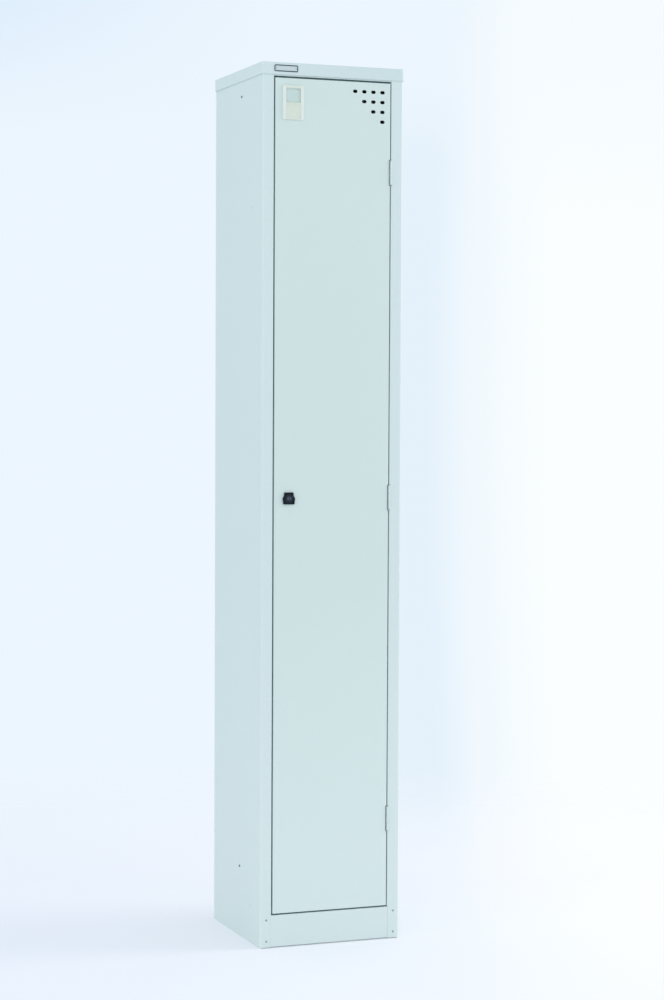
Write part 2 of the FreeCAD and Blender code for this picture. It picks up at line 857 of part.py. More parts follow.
pad(lock_housing, barrel, door_back - front, "Barrel", reverse=True)
recess = sketch_on(lock_housing, "XZ_Plane", "Recess", -plate_front)
circle(recess, lock_x, D.lock_height, D.plug_head + D.fit)
pocket(lock_housing, recess, D.plug_recess, "PlugRecess")
bore = sketch_on(lock_housing, "XZ_Plane", "Bore", -plate_front)
circle(bore, lock_x, D.lock_height, D.plug_radius + D.running_fit)
pocket(lock_housing, bore, door_back - plate_front, "PlugBore")

lock_nut = new_body("lock_nut")
hexagon = sketch_on(lock_nut, "XZ_Plane", "Hexagon", -door_inside)
flat_radius = D.nut_flats / 2
points = []
for i in range(6):
    angle = math.radians(60 * i)
    corner = flat_radius / math.cos(math.radians(30))
    points.append((lock_x + corner * math.cos(angle), D.lock_height + corner * math.sin(angle)))
outline(hexagon, points)
circle(hexagon, lock_x, D.lock_height, D.barrel_radius + D.hole_room)
pad(lock_nut, hexagon, D.nut_height, "Nut", reverse=True)

lock_plug = new_body("lock_plug")
head_back = plate_front + D.plug_recess - D.fit
shaft = sketch_on(lock_plug, "XZ_Plane", "Shaft", -head_back)
circle(shaft, lock_x, D.lock_height, D.plug_radius)
pad(lock_plug, shaft, cam_front - head_back, "Shaft", reverse=True)
head = sketch_on(lock_plug, "XZ_Plane", "Head", -head_back)
circle(head, lock_x, D.lock_height, D.plug_head)
pad(lock_plug, head, D.plug_recess, "Head")
square = sketch_on(lock_plug, "XZ_Plane", "Square", -cam_front)
half = D.cam_square / 2
rectangle(square, lock_x - half, D.lock_height - half, lock_x + half, D.lock_height + half)
pad(lock_plug, square, D.cam_sheet, "CamSquare", reverse=True)
key_face = head_back - D.plug_recess
keyway = sketch_on(lock_plug, "XZ_Plane", "Keyway", -key_face)
key_w, key_l = D.keyway_width / 2, D.keyway_length / 2
rectangle(
    keyway, lock_x - key_w, D.lock_height - key_l, lock_x + key_w, D.lock_height + key_l
)
pocket(lock_plug, keyway, D.keyway_depth, "Keyway")
tail = sketch_on(lock_plug, "XZ_Plane", "ScrewHole", -(cam_front + D.cam_sheet))
circle(tail, lock_x, D.lock_height, D.screw_radius + D.pin_clearance)
pocket(lock_plug, tail, D.screw_hole, "ScrewHole", reverse=True)

lock_cam = new_body("lock_cam")
bar = sketch_on(lock_cam, "XZ_Plane", "Bar", -cam_front)
cam_w = D.cam_width / 2
tip = D.lock_height + D.cam_length
outline(bar, [
    (lock_x - cam_w, D.lock_height - cam_w), (lock_x + cam_w, D.lock_height - cam_w),
    (lock_x + cam_w, tip - cam_w / 2), (lock_x + cam_w / 2, tip),
    (lock_x - cam_w / 2, tip), (lock_x - cam_w, tip - cam_w / 2),
])
eye = half + D.pin_clearance
rectangle(bar, lock_x - eye, D.lock_height - eye, lock_x + eye, D.lock_height + eye)
pad(lock_cam, bar, D.cam_sheet, "Cam", reverse=True)
heel = (D.lock_height - cam_w).value
fillet(
    lock_cam, D.cam_heel, "Heel",
    lambda p, q: near(p.z, heel) and near(q.z, heel) and near(p.x, q.x) and not near(p.y, q.y),
)

cam_back = cam_front + D.cam_sheet
cam_screw = new_body("cam_screw")
screw_head = sketch_on(cam_screw, "XZ_Plane", "Head", -cam_back)
circle(screw_head, lock_x, D.lock_height, D.screw_head)
pad(cam_screw, screw_head, D.screw_head_height, "Head", reverse=True)
shank = sketch_on(cam_screw, "XZ_Plane", "Shank", -cam_back)
circle(shank, lock_x, D.lock_height, D.screw_radius)
pad(cam_screw, shank, D.screw_length, "Shank")

# ---------------------------------------------------------------- label holder

label_front = front - D.label_depth
label_holder = new_body("label_holder")
frame = sketch_on(label_holder, "XZ_Plane", "Frame", -front)
label_right = label_left + D.label_width
rectangle(frame, label_left, label_bottom, label_right, label_top)
pad(label_holder, frame, D.label_depth, "Frame")
label_corners = [(x, z) for x in (label_left, label_right) for z in (label_bottom, label_top)]
fillet(label_holder, D.label_corner, "Corners", along("y", label_corners))
label_y = label_front.value
chamfer(
    label_holder, D.label_chamfer, "FrontEdge",
    lambda p, q: near(p.y, label_y) and near(q.y, label_y),
)
window_top = label_top - D.window_drop
window_low = window_top - D.window_height
window_half = D.window_width / 2
opening = sketch_on(label_holder, "XZ_Plane", "Window", -label_front)
rectangle(opening, label_x - window_half, window_low, label_x + window_half, window_top)
pocket(label_holder, opening, D.label_depth, "Window")
lower = sketch_on(label_holder, "XZ_Plane", "LowerPanel", -label_front)
rectangle(
    lower, label_x - window_half, label_bottom + D.panel_border,
    label_x + window_half, window_low - D.panel_border,
)
pocket(label_holder, lower, D.panel_recess, "LowerPanel")
card_slot = sketch_on(label_holder, "XZ_Plane", "CardSlot", -front)
slot_depth = D.window_sheet + D.card_room + D.card_sheet
slot_half = window_half + D.slot_margin
slot_low = window_low - D.slot_margin
slot_high = window_top + D.slot_margin
rectangle(card_slot, label_x - slot_half, slot_low, label_x + slot_half, slot_high)
pocket(label_holder, card_slot, slot_depth, "CardSlot", reverse=True)
pegs = sketch_on(label_holder, "XZ_Plane", "Pegs", -front)
for level in peg_levels:
    circle(pegs, label_x, level, D.peg_radius)
pad(label_holder, pegs, D.peg_length, "Pegs", reverse=True)


def label_sheet(label, y_face, thickness):
    """A sheet that fills the holder's card slot, behind the window."""
    body = new_body(label)
    plan = sketch_on(body, "XZ_Plane", "Sheet", -y_face)
    side = slot_half - D.fit
    low, high = slot_low + D.fit, slot_high - D.fit
    rectangle(plan, label_x - side, low, label_x + side, high)
    pad(body, plan, thickness, "Sheet", reverse=True)
    return body


label_sheet("label_window", front - slot_depth, D.window_sheet)
label_sheet("label_card", front - D.card_sheet, D.card_sheet)

# ---------------------------------------------------------------- buffers

# Rubber buttons on the lips behind the door's lock side, one above and one below.
buffer_levels = (door_top - D.buffer_level, door_bottom + D.buffer_level)
buttons = []
for level in buffer_levels:
    button = Part.makeCylinder(
        D.buffer_radius.value, (D.buffer_room - D.fit).value,
        Vector((door_left + D.buffer_inset).value, stop_face.value, level.value),
        Vector(0, -1, 0),
    )
    buttons.append(button)
solid_group("door_buffers", buttons)

# ---------------------------------------------------------------- check and write

doc.recompute()
for thing in doc.Objects:
    bad = {"Invalid", "Error"} & set(thing.State)
    if bad:
        raise RuntimeError(f"{thing.Label} is {sorted(bad)}")

nodes = [
    thing for thing in doc.Objects
    if thing.TypeId == "PartDesign::Body" or thing.TypeId == "Part::Feature"
]
os.makedirs("parts", exist_ok=True)
for node in nodes:
    shape = node.Shape
    if shape.isNull() or not shape.isValid():
        raise RuntimeError(f"{node.Label} has no valid shape")
    shape.exportStep(os.path.join("parts", f"{node.Label}.step"))
    print(f"{node.Label}: {len(shape.Solids)} solid(s), {shape.Volume:.0f} mm3")
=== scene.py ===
# %% [markdown]
# # A single-door steel locker
#
# The locker is folded from thin sheet: two sides, a back, a lift-on cap, a plinth, a floor and
# a hat shelf, with one long door on three butt hinges. The folded shapes come ready made from
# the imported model, which is loaded here as a frame that never moves. What Blender adds is the
# finish of each surface, the small pieces that are pressed, riveted or screwed on, and the
# room, light and camera.

import json
import math

import bmesh
import bpy
from mathutils import Matrix, Vector


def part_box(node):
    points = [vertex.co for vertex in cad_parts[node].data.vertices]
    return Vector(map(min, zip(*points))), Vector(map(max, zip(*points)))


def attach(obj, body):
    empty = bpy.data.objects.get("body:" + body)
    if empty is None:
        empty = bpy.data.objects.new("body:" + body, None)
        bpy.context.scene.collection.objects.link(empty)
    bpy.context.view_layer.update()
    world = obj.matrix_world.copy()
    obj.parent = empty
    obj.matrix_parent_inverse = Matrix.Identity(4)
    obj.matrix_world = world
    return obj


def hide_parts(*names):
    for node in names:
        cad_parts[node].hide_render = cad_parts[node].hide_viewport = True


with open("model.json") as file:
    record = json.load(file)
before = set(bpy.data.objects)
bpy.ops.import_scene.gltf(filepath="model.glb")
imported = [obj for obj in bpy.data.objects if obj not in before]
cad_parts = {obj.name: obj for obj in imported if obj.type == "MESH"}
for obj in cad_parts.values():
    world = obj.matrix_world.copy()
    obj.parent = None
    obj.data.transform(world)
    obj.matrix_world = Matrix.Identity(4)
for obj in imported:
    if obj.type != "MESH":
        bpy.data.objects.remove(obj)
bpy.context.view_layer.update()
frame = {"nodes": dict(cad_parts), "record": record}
nodes = frame["nodes"]
MM = 0.001

# %% [markdown]
# ## A short way to write a finish
#
# Every finish below is one Principled shader with a few noise nodes in front of it. A small
# class keeps each one readable: it makes the material, sets the shader's plain numbers on the
# shader's own sockets, and adds nodes in one line each. All noise is read in object
# coordinates. Every piece has its origin at the foot of the locker, so a scale of 400 means
# 400 cells to the metre on every one of them.

# %% A finish helper
class Finish:
    """A material with one Principled shader, and short calls that add nodes to it."""

    def __init__(self, name, **numbers):
        self.material = bpy.data.materials.new(name)
        self.material.use_nodes = True
        self.tree = self.material.node_tree
        self.shader = self.tree.nodes["Principled BSDF"]
        for socket, number in numbers.items():
            self.shader.inputs[socket.replace("_", " ")].default_value = number
        self.place = self.add("ShaderNodeTexCoord").outputs["Object"]

    def add(self, kind, inputs=None, **settings):
        node = self.tree.nodes.new(kind)
        for name, value in settings.items():
            setattr(node, name, value)
        for socket, value in (inputs or {}).items():
            self.feed(node.inputs[socket], value)
        return node

    def feed(self, socket, value):
        if isinstance(value, bpy.types.NodeSocket):
            self.tree.links.new(value, socket)
        else:
            socket.default_value = value

    def noise(self, scale, detail=2.0, stretch=(1, 1, 1)):
        """Noise from 0 to 1, with scale cells to the metre."""
        spread = self.add("ShaderNodeMapping", {"Vector": self.place, "Scale": stretch})
        inputs = {"Vector": spread.outputs["Vector"], "Scale": scale, "Detail": detail}
        return self.add("ShaderNodeTexNoise", inputs).outputs["Fac"]

    def axis(self, letter):
        """One object coordinate, in metres."""
        return self.add("ShaderNodeSeparateXYZ", {"Vector": self.place}).outputs[letter]

    def maths(self, operation, first, second=0.0):
        node = self.add("ShaderNodeMath", {0: first, 1: second}, operation=operation)
        return node.outputs["Value"]

    def between(self, driver, low, high, start=0.3, end=0.7):
        """The driver from start to end becomes a number from low to high."""
        inputs = {"Value": driver, "From Min": start, "From Max": end,
                  "To Min": low, "To Max": high}
        return self.add("ShaderNodeMapRange", inputs).outputs["Result"]

    def blend(self, driver, first, second, kind="MIX"):
        """The first colour where the driver is 0, the second where it is 1."""
        mix = self.add("ShaderNodeMix", data_type="RGBA", blend_type=kind)
        factor, a, b = (mix.inputs[i] for i in (0, 6, 7))
        self.feed(factor, driver)
        self.feed(a, rgba(first))
        self.feed(b, rgba(second))
        return mix.outputs[2]

    def tint(self, driver, colour, tone):
        """The colour as it is where the driver is 0, multiplied by the tone where it is 1."""
        return self.blend(driver, colour, tone, kind="MULTIPLY")

    def bump(self, height, distance, strength=1.0, under=None):
        """A surface that rises by distance where height is 1, on top of another bump."""
        inputs = {"Height": height, "Distance": distance, "Strength": strength}
        if under is not None:
            inputs["Normal"] = under
        return self.add("ShaderNodeBump", inputs).outputs["Normal"]

    def set(self, **sockets):
        for socket, value in sockets.items():
            self.feed(self.shader.inputs[socket.replace("_", " ")], value)
        return self.material


def rgba(colour):
    return colour if isinstance(colour, bpy.types.NodeSocket) else (*colour, 1.0)


def shade(colour, factor):
    """The same colour, lighter or darker."""
    return tuple(min(1.0, c * factor) for c in colour)


# %% [markdown]
# ## Powder coat
#
# Locker sheet is dusted with dry polyester powder and baked. The skin that comes out is even
# in colour, satin, and very slightly lumpy like orange peel. Under it, wide thin sheets are
# never quite flat. Three noises give that: one in broad clouds that shifts the colour by a
# percent or two and tips the normal a little, one a few millimetres across for the orange
# peel, and one fine one that breaks up the gloss. Bump does for all three, because none of
# them is deeper than a few hundredths of a millimetre.
#
# Four simple masks of a point's place change the coat's tone a little:
#
# - Towards the foot the coat is painted paler. This is painted light, which stands in for the
#   light that the bright floor throws up onto the lower part of the panels.
# - The two upright bends at the front are painted paler: a painted highlight along the bends.
# - In the narrow gap round the door the coat is painted darker and colder: painted shade. A
#   point is in the gap if it lies behind the front sheets but not behind the door's own depth,
#   and beyond the door's outline.
# - The cap is a little darker towards its right end.

# %% Powder coat
door_low, door_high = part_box("door_panel")
left_low, left_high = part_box("left_side")
right_low, right_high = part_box("right_side")
# Painted light: the heights over which the coat turns paler towards the foot, as the floor
# lights it
BOUNCE_LIGHT_FROM, BOUNCE_LIGHT_TO = 0.75, 0.18
# Painted highlight: the span across the two front bends where the coat turns paler.
CORNER_REACH = right_high.x - right_low.y
HIGHLIGHT_FROM, HIGHLIGHT_TO = CORNER_REACH - 6.0 * MM, CORNER_REACH - 2.5 * MM
# Painted shade: the darker, colder tone of the coat in the gap round the door.
GAP_SHADE_TONE = (0.86, 0.935, 0.975)
FRONT_SHEET, EDGE_SLACK = 1.6 * MM, 0.4 * MM


def toned(colour, tone):
    return tuple(part * factor for part, factor in zip(colour, tone))


def over(finish, driver, level):
    """1 where the driver is more than the level, 0 where it is less."""
    return finish.maths("GREATER_THAN", driver, level)


def painted_gap_shade(finish):
    """Painted shade: 1 on the sheet edges that line the gap round the door, 0 elsewhere."""
    beyond = 0.0
    for axis in "XZ":
        low, high = (getattr(corner, axis.lower()) for corner in (door_low, door_high))
        off_centre = finish.maths("SUBTRACT", finish.axis(axis), (low + high) / 2)
        reach = (high - low) / 2 - EDGE_SLACK
        outside = over(finish, finish.maths("ABSOLUTE", off_centre), reach)
        beyond = finish.maths("MAXIMUM", outside, beyond)
    depth = finish.maths("SUBTRACT", finish.axis("Y"), right_low.y + FRONT_SHEET)
    behind = over(finish, depth, 0.0)
    shallow = over(finish, door_high.y - right_low.y, depth)
    inner_side = over(finish, right_high.x - FRONT_SHEET,
                      finish.maths("ABSOLUTE", finish.axis("X")))
    for mask in (behind, shallow, inner_side):
        beyond = finish.maths("MULTIPLY", beyond, mask)
    return beyond


def painted_corner_highlight(finish):
    """Painted highlight: 1 along the two upright bends at the front of the sides, 0 away from
    them.
    """
    beside = finish.maths("ABSOLUTE", finish.axis("X"))
    reach = finish.maths("SUBTRACT", beside, finish.axis("Y"))
    return finish.between(reach, 0, 1, start=HIGHLIGHT_FROM, end=HIGHLIGHT_TO)


# Painted light towards the foot, a painted highlight on the bends and painted shade in the gap.
def powder_coat(name, colour, gloss=0.42, bounce_light_tone=(1.125, 1.10, 1.08),
                corner_highlight_tone=None, end_tone=None):
    coat = Finish(name, Metallic=0.0, IOR=1.5)
    clouds = coat.noise(2.6, detail=3.0, stretch=(1, 1, 0.45))
    grain = coat.noise(900.0, detail=2.0)
    peel = coat.noise(330.0, detail=1.0)
    soft = coat.blend(coat.between(clouds, 0, 1), shade(colour, 0.985), shade(colour, 1.012))
    fine = coat.blend(coat.between(grain, 0, 1), shade(colour, 0.975), shade(colour, 1.02))
    # Painted light from the floor: the coat is paler towards the foot.
    bounce_light_mask = coat.between(coat.axis("Z"), 0, 0.5, start=BOUNCE_LIGHT_FROM, end=BOUNCE_LIGHT_TO)
    outer = coat.tint(bounce_light_mask, coat.blend(0.5, soft, fine), bounce_light_tone)
    # Painted highlight along the two front bends.
    if corner_highlight_tone:
        outer = coat.tint(painted_corner_highlight(coat), outer, corner_highlight_tone)
    if end_tone:
        rightwards = coat.between(coat.axis("X"), 0, 1, start=left_low.x, end=right_high.x)
        outer = coat.tint(rightwards, outer, end_tone)
    # Painted shade in the gap round the door: a darker, colder copy of the coat.
    gap_shade_colour = toned(colour, GAP_SHADE_TONE)
    inner = coat.blend(coat.between(clouds, 0, 1), shade(gap_shade_colour, 0.98), shade(gap_shade_colour, 1.02))
    tone = coat.blend(painted_gap_shade(coat), outer, inner)
    waves = coat.bump(clouds, 1.2 * MM, strength=0.35)
    skin = coat.bump(peel, 0.035 * MM, strength=0.6, under=waves)
    return coat.set(
        Base_Color=tone,
        Roughness=coat.between(grain, gloss - 0.05, gloss + 0.06),
        Normal=skin,
    )


BODY_COLOUR = (0.602, 0.716, 0.711)
DOOR_COLOUR = (0.591, 0.713, 0.689)
# The body's coat carries the painted highlight on its front bends.
body_paint = powder_coat("body_paint", BODY_COLOUR, corner_highlight_tone=(1.028, 1.024, 1.024))
door_paint = powder_coat("door_paint", DOOR_COLOUR, gloss=0.40, bounce_light_tone=(1.172, 1.12, 1.142))
cap_paint = powder_coat("cap_paint", (0.594, 0.715, 0.713), end_tone=(0.945, 0.960, 0.964))
weld_paint = powder_coat("weld_paint", shade(BODY_COLOUR, 0.86))
print("powder coats: body, door, cap, weld")

# %% [markdown]
# ## Bare and plated metal
#
# The coat rail, its brackets and the cam are zinc plated. Plating keeps the fine scratches of
# the metal below it, drawn out along the tube or across the stamping, so a noise stretched far
# along one axis drives both the roughness and a faint bump. Broad patches of duller zinc keep
# it from looking like chrome.

# %% Zinc plate
def plated(name, colour, along=(1, 1, 1), gloss=0.3):
    zinc = Finish(name, Metallic=1.0)
    streaks = zinc.noise(1500.0, detail=3.0, stretch=along)
    patches = zinc.noise(60.0, detail=2.0)
    tone = zinc.blend(zinc.between(patches, 0, 1), shade(colour, 0.9), shade(colour, 1.06))
    return zinc.set(
        Base_Color=tone,
        Roughness=zinc.between(streaks, gloss - 0.08, gloss + 0.14),
        Normal=zinc.bump(streaks, 0.01 * MM, strength=0.5),
    )


ZINC = (0.62, 0.63, 0.64)
rail_zinc = plated("rail_zinc", ZINC, along=(0.03, 1, 1))
bracket_zinc = plated("bracket_zinc", ZINC, along=(1, 1, 0.08), gloss=0.36)
cam_zinc = plated("cam_zinc", (0.58, 0.57, 0.54), along=(0.3, 1, 1), gloss=0.33)
pin_steel = plated("pin_steel", (0.50, 0.50, 0.50), along=(1, 1, 0.05), gloss=0.28)
rivet_steel = plated("rivet_steel", (0.235, 0.305, 0.33), gloss=0.4)
ring_steel = plated("ring_steel", (0.040, 0.050, 0.072), gloss=0.3)
print("metals: rail, bracket, cam, pin, rivet, ring")

# %% [markdown]
# ## Lock finishes
#
# The lock's housing is a die casting with a thin black coat: dark, smooth, with a slightly
# coarse skin that blurs its highlights. The plug that the key turns is plated dark grey, and
# keys have rubbed the middle of it lighter. The rubbing is a round fade centred on the keyway,
# from a gradient node placed at the plug's centre.

# %% Black die casting
casting = Finish("lock_casting", Metallic=0.0, IOR=1.5, Specular_IOR_Level=0.2)
pits = casting.noise(1400.0, detail=3.0)
casting_tone = casting.blend(casting.between(pits, 0, 1), (0.0015, 0.004, 0.0075),
                             (0.004, 0.008, 0.013))
lock_casting = casting.set(
    Base_Color=casting_tone,
    Roughness=casting.between(pits, 0.24, 0.36),
    Normal=casting.bump(pits, 0.02 * MM, strength=0.6),
)

# %% Plug face, rubbed by keys
plug_low, plug_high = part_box("lock_plug")
plug_centre = (plug_low + plug_high) / 2
PLUG_FACE = 8.6 * MM


def round_fade(finish, centre, radius):
    """1 at the centre line and 0 at the radius, round an axis along Y."""
    flat = (1 / radius, 0.0, 1 / radius)
    inputs = {"Vector": finish.place, "Location": [-c * f for c, f in zip(centre, flat)],
              "Scale": flat}
    spread = finish.add("ShaderNodeMapping", inputs)
    fade = finish.add("ShaderNodeTexGradient", {"Vector": spread.outputs["Vector"]},
                      gradient_type="SPHERICAL")
    return fade.outputs["Fac"]


plug = Finish("lock_plug_face", Metallic=0.3, Specular_IOR_Level=0.3)
rub = round_fade(plug, plug_centre, PLUG_FACE)
brush = plug.noise(1800.0, detail=3.0, stretch=(1, 1, 0.2))
worn = plug.between(rub, 0, 1, start=0.3, end=0.95)
plug_tone = plug.blend(worn, (0.011, 0.015, 0.022), (0.122, 0.145, 0.212))
lock_plug_face = plug.set(
    Base_Color=plug_tone,
    Roughness=plug.between(brush, 0.28, 0.48),
    Normal=plug.bump(brush, 0.015 * MM, strength=0.5),
)
print("plug centre in mm:", [round(v / MM, 1) for v in plug_centre])

# %% [markdown]
# ## Plastics, card and rubber
#
# The label holder is a cream moulding with a faint flow texture. Its two long rails are
# thinner, and the coat behind them shows through, so they are paler and cooler than its
# middle. Its two short ends are a third of the way there. Its window is a clear sheet that
# scatters almost no light, so it is drawn as a mostly see-through gloss with fine scuffs. The
# card behind it is uncoated stock: matt, with long fibres. The door buffers are rubber with
# the dull bloom that rubber gets.

# %% Cream moulding
LABEL_CREAM = (0.628, 0.706, 0.615)
LABEL_RAIL = (0.682, 0.766, 0.720)
holder_low, holder_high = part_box("label_holder")
holder_middle = (holder_low.x + holder_high.x) / 2
holder_level = (holder_low.z + holder_high.z) / 2
RAIL_INNER, RAIL_OUTER = 15.8 * MM, 17.2 * MM
END_INNER = holder_high.z - holder_level - 3.6 * MM
END_OUTER = END_INNER + 0.8 * MM
END_TONE = 0.35
moulding = Finish("label_moulding", IOR=1.49, Subsurface_Weight=0.05, Subsurface_Scale=0.001)
flow = moulding.noise(140.0, detail=3.0, stretch=(1, 1, 0.35))
spark = moulding.noise(1600.0, detail=2.0)
across = moulding.maths("SUBTRACT", moulding.axis("X"), holder_middle)
from_middle = moulding.maths("ABSOLUTE", across)
on_rail = moulding.between(from_middle, 0, 1, start=RAIL_INNER, end=RAIL_OUTER)
up_or_down = moulding.maths("SUBTRACT", moulding.axis("Z"), holder_level)
from_level = moulding.maths("ABSOLUTE", up_or_down)
on_end = moulding.between(from_level, 0, END_TONE, start=END_INNER, end=END_OUTER)
streaky = moulding.blend(moulding.between(flow, 0, 1), shade(LABEL_CREAM, 0.985),
                         shade(LABEL_CREAM, 1.02))
moulding_tone = moulding.blend(moulding.maths("MAXIMUM", on_rail, on_end), streaky, LABEL_RAIL)
label_moulding = moulding.set(
    Base_Color=moulding_tone,
    Roughness=moulding.between(spark, 0.30, 0.42),
    Normal=moulding.bump(spark, 0.012 * MM, strength=0.5),
)

# %% Clear window
clear = Finish("label_clear", IOR=1.49, Alpha=0.16)
scuff = clear.noise(700.0, detail=4.0, stretch=(1, 1, 0.1))
clear_tone = clear.blend(clear.between(scuff, 0, 1), (0.62, 0.74, 0.74), (0.72, 0.84, 0.84))
label_clear = clear.set(
    Base_Color=clear_tone,
    Roughness=clear.between(scuff, 0.06, 0.16, start=0.5, end=0.8),
    Normal=clear.bump(scuff, 0.004 * MM, strength=0.4),
)

# %% Card stock
card = Finish("label_card_stock", Metallic=0.0, IOR=1.4)
fibres = card.noise(1200.0, detail=4.0, stretch=(0.25, 1, 1))
card_tone = card.blend(card.between(fibres, 0, 1), (0.61, 0.73, 0.69), (0.66, 0.78, 0.74))
label_card_stock = card.set(
    Base_Color=card_tone,
    Roughness=card.between(fibres, 0.78, 0.92),
    Normal=card.bump(fibres, 0.02 * MM, strength=0.5),
)

# %% Rubber
rubber = Finish("buffer_rubber", Metallic=0.0, IOR=1.5)
bloom = rubber.noise(260.0, detail=3.0)
rubber_tone = rubber.blend(rubber.between(bloom, 0, 1), (0.012, 0.012, 0.012),
                           (0.035, 0.034, 0.033))
buffer_rubber = rubber.set(
    Base_Color=rubber_tone,
    Roughness=rubber.between(bloom, 0.6, 0.82),
    Normal=rubber.bump(bloom, 0.03 * MM, strength=0.5),
)

# %% Plate enamel and plug plastic
def solid_finish(name, dark, light, roughness):
    """A plain hard finish with a little mottle."""
    finish = Finish(name, Metallic=0.0, IOR=1.5)
    mottle = finish.noise(500.0, detail=3.0)
    return finish.set(
        Base_Color=finish.blend(finish.between(mottle, 0, 1), dark, light),
        Roughness=finish.between(mottle, roughness - 0.05, roughness + 0.07),
        Normal=finish.bump(mottle, 0.01 * MM, strength=0.5),
    )


plate_enamel = solid_finish("plate_enamel", (0.020, 0.035, 0.050), (0.030, 0.048, 0.066), 0.35)
plate_field = solid_finish("plate_field", (0.50, 0.60, 0.61), (0.54, 0.64, 0.65), 0.40)
plug_plastic = solid_finish("plug_plastic", (0.085, 0.135, 0.155), (0.11, 0.165, 0.185), 0.5)
print("plastics, card, rubber and enamel made")

# %% [markdown]
# ## Put the finishes on the folded parts
#
# The parts of the frame already have the right shapes, so they only change finish. Each one
# gets the material of what it is made of. The hinges are coated with the locker, so their
# leaves share the body's paint; only the pins stay bright.

# %% Dress the frame
DRESS = {
    body_paint: ["left_side", "right_side", "back_panel", "head_rail", "plinth",
                 "floor_panel", "hat_shelf"],
    cap_paint: ["top_cap"],
    door_paint: ["door_panel", "door_stiffener"],
    rail_zinc: ["coat_rail"],
    bracket_zinc: ["rail_bracket_left", "rail_bracket_right"],
    lock_casting: ["lock_housing"],
    lock_plug_face: ["lock_plug"],
    cam_zinc: ["lock_cam", "lock_nut", "cam_screw"],
    label_moulding: ["label_holder"],
    label_clear: ["label_window"],
    label_card_stock: ["label_card"],
    buffer_rubber: ["door_buffers"],
}
for place in ("bottom", "middle", "top"):
    DRESS[body_paint] += [f"hinge_{place}_frame_leaf", f"hinge_{place}_door_leaf"]
    DRESS.setdefault(pin_steel, []).append(f"hinge_{place}_pin")

for material, names in DRESS.items():
    for name in names:
        for material_slot in nodes[name].material_slots:
            material_slot.material = material
dressed = sum(len(names) for names in DRESS.values())
print("dressed", dressed, "of", len(nodes), "nodes")

# %% [markdown]
# ## Small pieces turned from a profile
#
# Rivets, weld marks, plugs and screws are all round, so one helper makes them: it spins a
# half profile of (radius, height) points, in millimetres, about an axis. The profile stands
# on the sheet, with height 0 at the sheet's face. A profile that ends on the point that it
# started from makes a ring. A piece that is used many times is one mesh with all its copies,
# because the copies never move apart.

# %% Spin a profile
def spun(mesh, profile, place, normal, steps=20):
    """Add one spun profile to a bmesh, standing at a place along a normal."""
    turn = Vector((0, 0, 1)).rotation_difference(Vector(normal)).to_matrix().to_4x4()
    stand = Matrix.Translation(place) @ turn @ Matrix.Scale(MM, 4)
    rings = []
    for radius, height in profile:
        count = steps if radius else 1
        angles = [2 * math.pi * i / count for i in range(count)]
        points = [Vector((radius * math.cos(t), radius * math.sin(t), height)) for t in angles]
        if rings and (radius, height) == profile[0]:
            rings.append(rings[0])
        else:
            rings.append([mesh.verts.new(stand @ point) for point in points])
    join(mesh, rings, steps)
    return rings


def join(mesh, rings, steps):
    """Faces between each ring and the next; a ring of one point makes a pole."""
    for inner, outer in zip(rings, rings[1:]):
        for i in range(steps):
            j = (i + 1) % steps
            corners = [outer[i % len(outer)], outer[j % len(outer)],
                       inner[j % len(inner)], inner[i % len(inner)]]
            mesh.faces.new(list(dict.fromkeys(corners)))


def in_scene(name, data):
    """A new object in the scene, standing at the foot of the locker until it is moved."""
    made = bpy.data.objects.new(name, data)
    bpy.context.scene.collection.objects.link(made)
    return made


def piece(name, mesh, material, body, smooth=True):
    """Turn a bmesh into a named piece that rides on a body."""
    bmesh.ops.recalc_face_normals(mesh, faces=mesh.faces)
    data = bpy.data.meshes.new(name)
    mesh.to_mesh(data)
    mesh.free()
    made = in_scene(name, data)
    data.materials.append(material)
    data.polygons.foreach_set("use_smooth", [smooth] * len(data.polygons))
    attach(made, body)
    print(f"{name}: {len(data.polygons)} faces on {body}")
    return made


# %% [markdown]
# ## Foot rivets
#
# The plinth is held to the feet of the uprights by two pop rivets a side. A pop rivet has a
# shallow dome with a hole in its middle where the pulled pin broke off. Left uncoated, the
# hole makes each one read as a small dark dot.

# %% Foot rivets
front_face = left_low.y
RIVET_COLUMNS = (left_low.x + 13.5 * MM, right_high.x - 12.0 * MM)
RIVET_LEVELS = (14 * MM, 58 * MM)
FOOT_RIVET = [(0, -0.25), (0.75, -0.25), (0.85, 0.55), (1.2, 0.62), (1.75, 0.42), (2.05, 0.1),
              (2.05, -0.1), (0, -0.3)]
rivets = bmesh.new()
for x in RIVET_COLUMNS:
    for z in RIVET_LEVELS:
        spun(rivets, FOOT_RIVET, (x, front_face, z), (0, -1, 0))
piece("foot_rivets", rivets, rivet_steel, "carcass")

# %% [markdown]
# ## Sealer beside the plinth
#
# The plinth's face ends a fraction of a millimetre from the uprights. Before coating, a bead
# of paintable sealer is wiped into both seams, and it sinks a little as it dries, so that a
# faint line stays. Each bead is a short outline, hollow in front, drawn up along the seam. It
# is given by where it starts and ends across the front, and how far it has sunk.

# %% Seam sealer
SEAMS = ((-129.9 * MM, -129.6 * MM, 0.32 * MM), (127.6 * MM, 128.4 * MM, 0.45 * MM))
SEAM_LOW, SEAM_HIGH = 2.3 * MM, 65.5 * MM
SHEET = 0.8 * MM


def drawn_up(mesh, outline, low, high):
    """Add a prism on an (x, y) outline, from one height to another."""
    ends = [[mesh.verts.new((x, y, z)) for x, y in outline] for z in (low, high)]
    join(mesh, ends, len(outline))
    for end in ends:
        mesh.faces.new(end)


